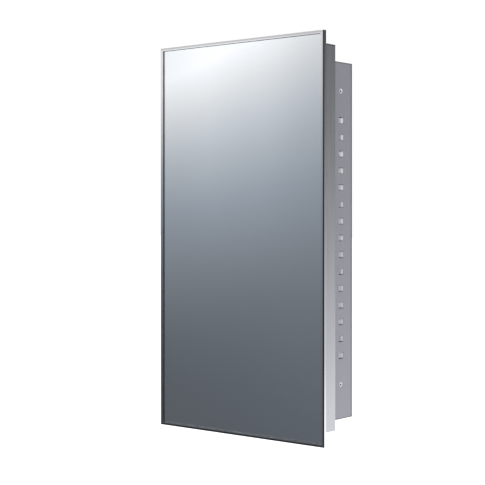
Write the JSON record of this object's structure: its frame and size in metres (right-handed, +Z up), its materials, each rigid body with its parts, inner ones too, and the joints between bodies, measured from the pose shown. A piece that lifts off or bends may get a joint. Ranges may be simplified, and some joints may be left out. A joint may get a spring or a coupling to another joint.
{
  "type": "medicine cabinet",
  "caption": "semi-recessed steel medicine cabinet: one mirror door in a thin polished frame on a continuous hinge, stepped collar, narrow wall case with adjustable shelves",
  "frame": {"origin": "middle of the bounding box: centred on the door in width and height, half way between the door front and the back of the case; the wall plane is 8 mm in front of the origin", "axes": "+X is the viewer's right, +Y goes back into the wall, +Z is up; the mirror faces -Y"},
  "size_m": [0.4064, 0.13, 0.762],
  "materials": {
    "case_paint": "satin grey-white powder coat on formed steel sheet",
    "stainless_satin": "satin stainless steel, fine vertical grain",
    "stainless_polished": "bright polished stainless steel channel",
    "shelf_paint": "white powder coat on steel sheet",
    "hinge_steel": "rolled stainless strip",
    "pin_steel": "drawn steel wire",
    "rivet_steel": "steel blind rivet",
    "plated_steel": "bright zinc plate",
    "catch_plastic": "moulded white plastic",
    "magnet_ferrite": "sintered ferrite block",
    "bumper_rubber": "soft black rubber",
    "mirror_silver": "silvered float glass",
    "backing_sheet": "fibre backing sheet",
    "pan_paint": "white powder coat on steel sheet"
  },
  "bodies": {
    "cabinet": {"case_side_right": "case_paint", "case_side_left": "case_paint", "case_top": "case_paint", "case_bottom": "case_paint", "case_back": "case_paint", "collar_right": "stainless_satin", "collar_left": "stainless_satin", "collar_top": "stainless_satin", "collar_bottom": "stainless_satin", "shelf_1": "shelf_paint", "shelf_2": "shelf_paint", "shelf_3": "shelf_paint", "shelf_4": "shelf_paint", "hinge_leaf_case": "hinge_steel", "hinge_pin": "pin_steel", "collar_rivets": "rivet_steel", "case_corner_rivets": "rivet_steel", "case_back_rivets": "rivet_steel", "hinge_rivets_case": "rivet_steel", "catch_housing": "catch_plastic", "catch_magnet": "magnet_ferrite", "catch_pole_plates": "plated_steel", "catch_screws": "plated_steel", "door_bumpers": "bumper_rubber"},
    "door": {"mirror_glass": "mirror_silver", "mirror_backing": "backing_sheet", "door_back_pan": "pan_paint", "door_frame_right": "stainless_polished", "door_frame_left": "stainless_polished", "door_frame_top": "stainless_polished", "door_frame_bottom": "stainless_polished", "frame_corner_keys": "plated_steel", "door_frame_rivets": "rivet_steel", "catch_strike": "plated_steel", "catch_strike_rivets": "rivet_steel", "hinge_leaf_door": "hinge_steel", "hinge_rivets_door": "rivet_steel"}
  },
  "joints": [
    {"name": "door_hinge", "type": "hinge", "parent": "cabinet", "child": "door", "pos_m": [-0.19345, -0.05335, 0], "axis": [0, 0, -1], "range_deg": [0, 110]}
  ]
}
